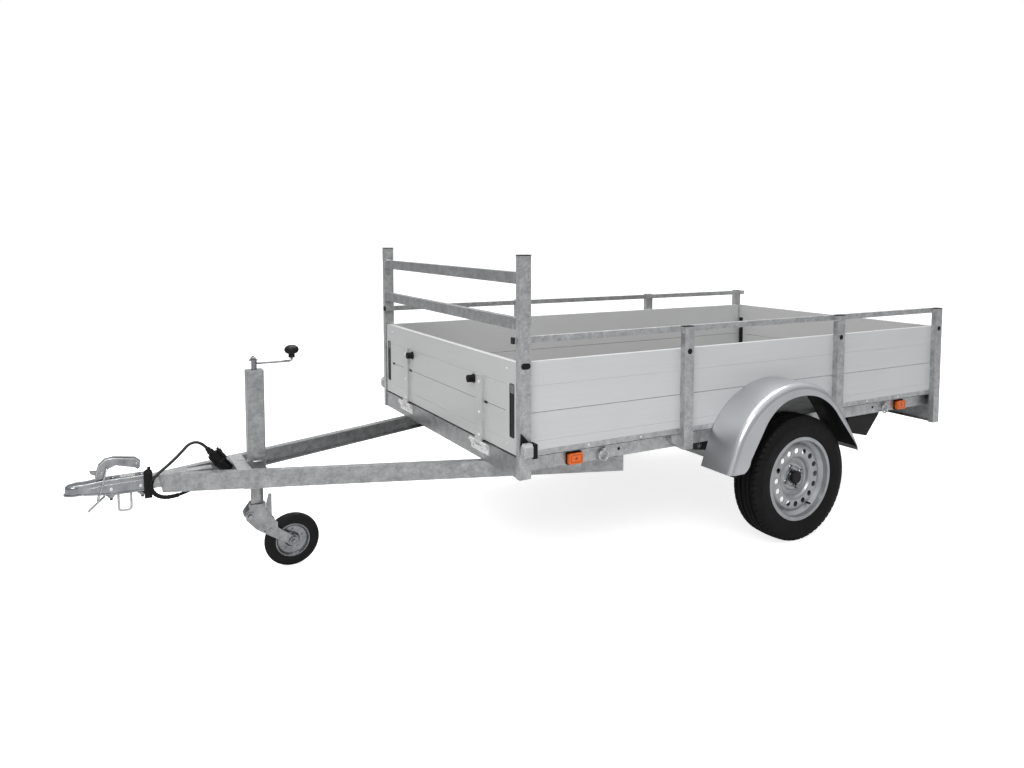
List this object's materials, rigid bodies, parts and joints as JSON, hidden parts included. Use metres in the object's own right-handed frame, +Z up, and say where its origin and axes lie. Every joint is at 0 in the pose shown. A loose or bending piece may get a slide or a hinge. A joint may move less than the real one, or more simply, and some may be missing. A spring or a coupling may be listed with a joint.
{
  "type": "utility trailer",
  "caption": "Single-axle open utility trailer: aluminium board box on a galvanised frame with V drawbar, ball coupling, jockey wheel, fold-down gates, front rack bars and mudguards.",
  "frame": {"origin": "centre of the footprint on the ground", "axes": "+X to the rear, +Y to the trailer's right, +Z up"},
  "size_m": [4.112, 1.94, 1.339],
  "materials": {
    "galvanised": "hot-dip galvanised, mottled spangle",
    "zinc": "bright zinc plated",
    "aluminium_board": "satin anodised planks",
    "silver_plastic": "satin silver moulded plastic",
    "black_plastic": "matt black",
    "rubber": "black rubber",
    "tyre": "black tyre",
    "silver_paint": "silver wheel paint",
    "black_steel": "black coated steel",
    "plywood": "phenolic coated plywood, dark brown",
    "amber": "amber lens",
    "red_lens": "red lens",
    "clear_lens": "clear ribbed lens",
    "cable": "black sheathed cable"
  },
  "bodies": {
    "chassis": {"axle_brackets": "black_steel", "axle_tube": "galvanised", "cable": "cable", "cable_gland": "black_plastic", "coupling_bail": "zinc", "coupling_handle": "zinc", "coupling_head": "zinc", "cross_members": "galvanised", "drawbar_left": "galvanised", "drawbar_right": "galvanised", "floor": "plywood", "front_cross_member": "galvanised", "front_gate_hinges": "zinc", "front_markers": "clear_lens", "jack_crank": "zinc", "jack_knob": "black_plastic", "jack_tube": "galvanised", "lashing_rings": "zinc", "marker_arms": "rubber", "mudguard_left": "silver_plastic", "mudguard_right": "silver_plastic", "nose_frame": "galvanised", "nose_strap": "rubber", "plug": "black_plastic", "plug_holder": "black_plastic", "posts_left": "galvanised", "posts_right": "galvanised", "rack_bars": "galvanised", "rear_frame": "galvanised", "rear_gate_hinges": "zinc", "safety_loop": "zinc", "side_boards_left": "aluminium_board", "side_boards_right": "aluminium_board", "side_markers": "amber", "side_rails": "galvanised", "swing_arms": "black_steel", "tail_lamps": "red_lens", "top_rails": "galvanised", "tube_caps": "black_plastic", "wheel_chocks": "black_plastic"},
    "front_gate": {"front_gate_boards": "aluminium_board", "front_gate_ends": "aluminium_board", "front_gate_latches": "black_plastic", "front_gate_straps": "zinc", "front_gate_buffers": "rubber"},
    "rear_gate": {"rear_gate_boards": "aluminium_board", "rear_gate_ends": "aluminium_board", "rear_gate_latches": "black_plastic", "rear_gate_straps": "zinc"},
    "wheel_left": {"tyre_left": "tyre", "rim_left": "silver_paint", "hub_left": "zinc"},
    "wheel_right": {"tyre_right": "tyre", "rim_right": "silver_paint", "hub_right": "zinc"},
    "jack_slider": {"jack_inner": "galvanised"},
    "jockey_swivel": {"jockey_bracket": "galvanised"},
    "jockey_wheel": {"jockey_tyre": "rubber", "jockey_rim": "zinc"}
  },
  "joints": [
    {"name": "front_gate_hinge", "type": "hinge", "parent": "chassis", "child": "front_gate", "pos_m": [-0.568, 0, 0.545], "axis": [0, -1, 0], "range_deg": [0, 101]},
    {"name": "rear_gate_hinge", "type": "hinge", "parent": "chassis", "child": "rear_gate", "pos_m": [2.048, 0, 0.545], "axis": [0, 1, 0], "range_deg": [0, 178]},
    {"name": "wheel_left_spin", "type": "hinge", "parent": "chassis", "child": "wheel_left", "pos_m": [0.838, -0.858, 0.29375], "axis": [0, 1, 0], "continuous": true},
    {"name": "wheel_right_spin", "type": "hinge", "parent": "chassis", "child": "wheel_right", "pos_m": [0.838, 0.858, 0.29375], "axis": [0, 1, 0], "continuous": true},
    {"name": "jack_slide", "type": "slide", "parent": "chassis", "child": "jack_slider", "axis": [0, 0, 1], "range_m": [-0.15, 0.05]},
    {"name": "jockey_swivel_turn", "type": "hinge", "parent": "jack_slider", "child": "jockey_swivel", "pos_m": [-1.374, 0, 0.25], "axis": [0, 0, 1], "continuous": true},
    {"name": "jockey_wheel_spin", "type": "hinge", "parent": "jockey_swivel", "child": "jockey_wheel", "pos_m": [-1.237, 0, 0.11285], "axis": [0, 1, 0], "continuous": true}
  ]
}
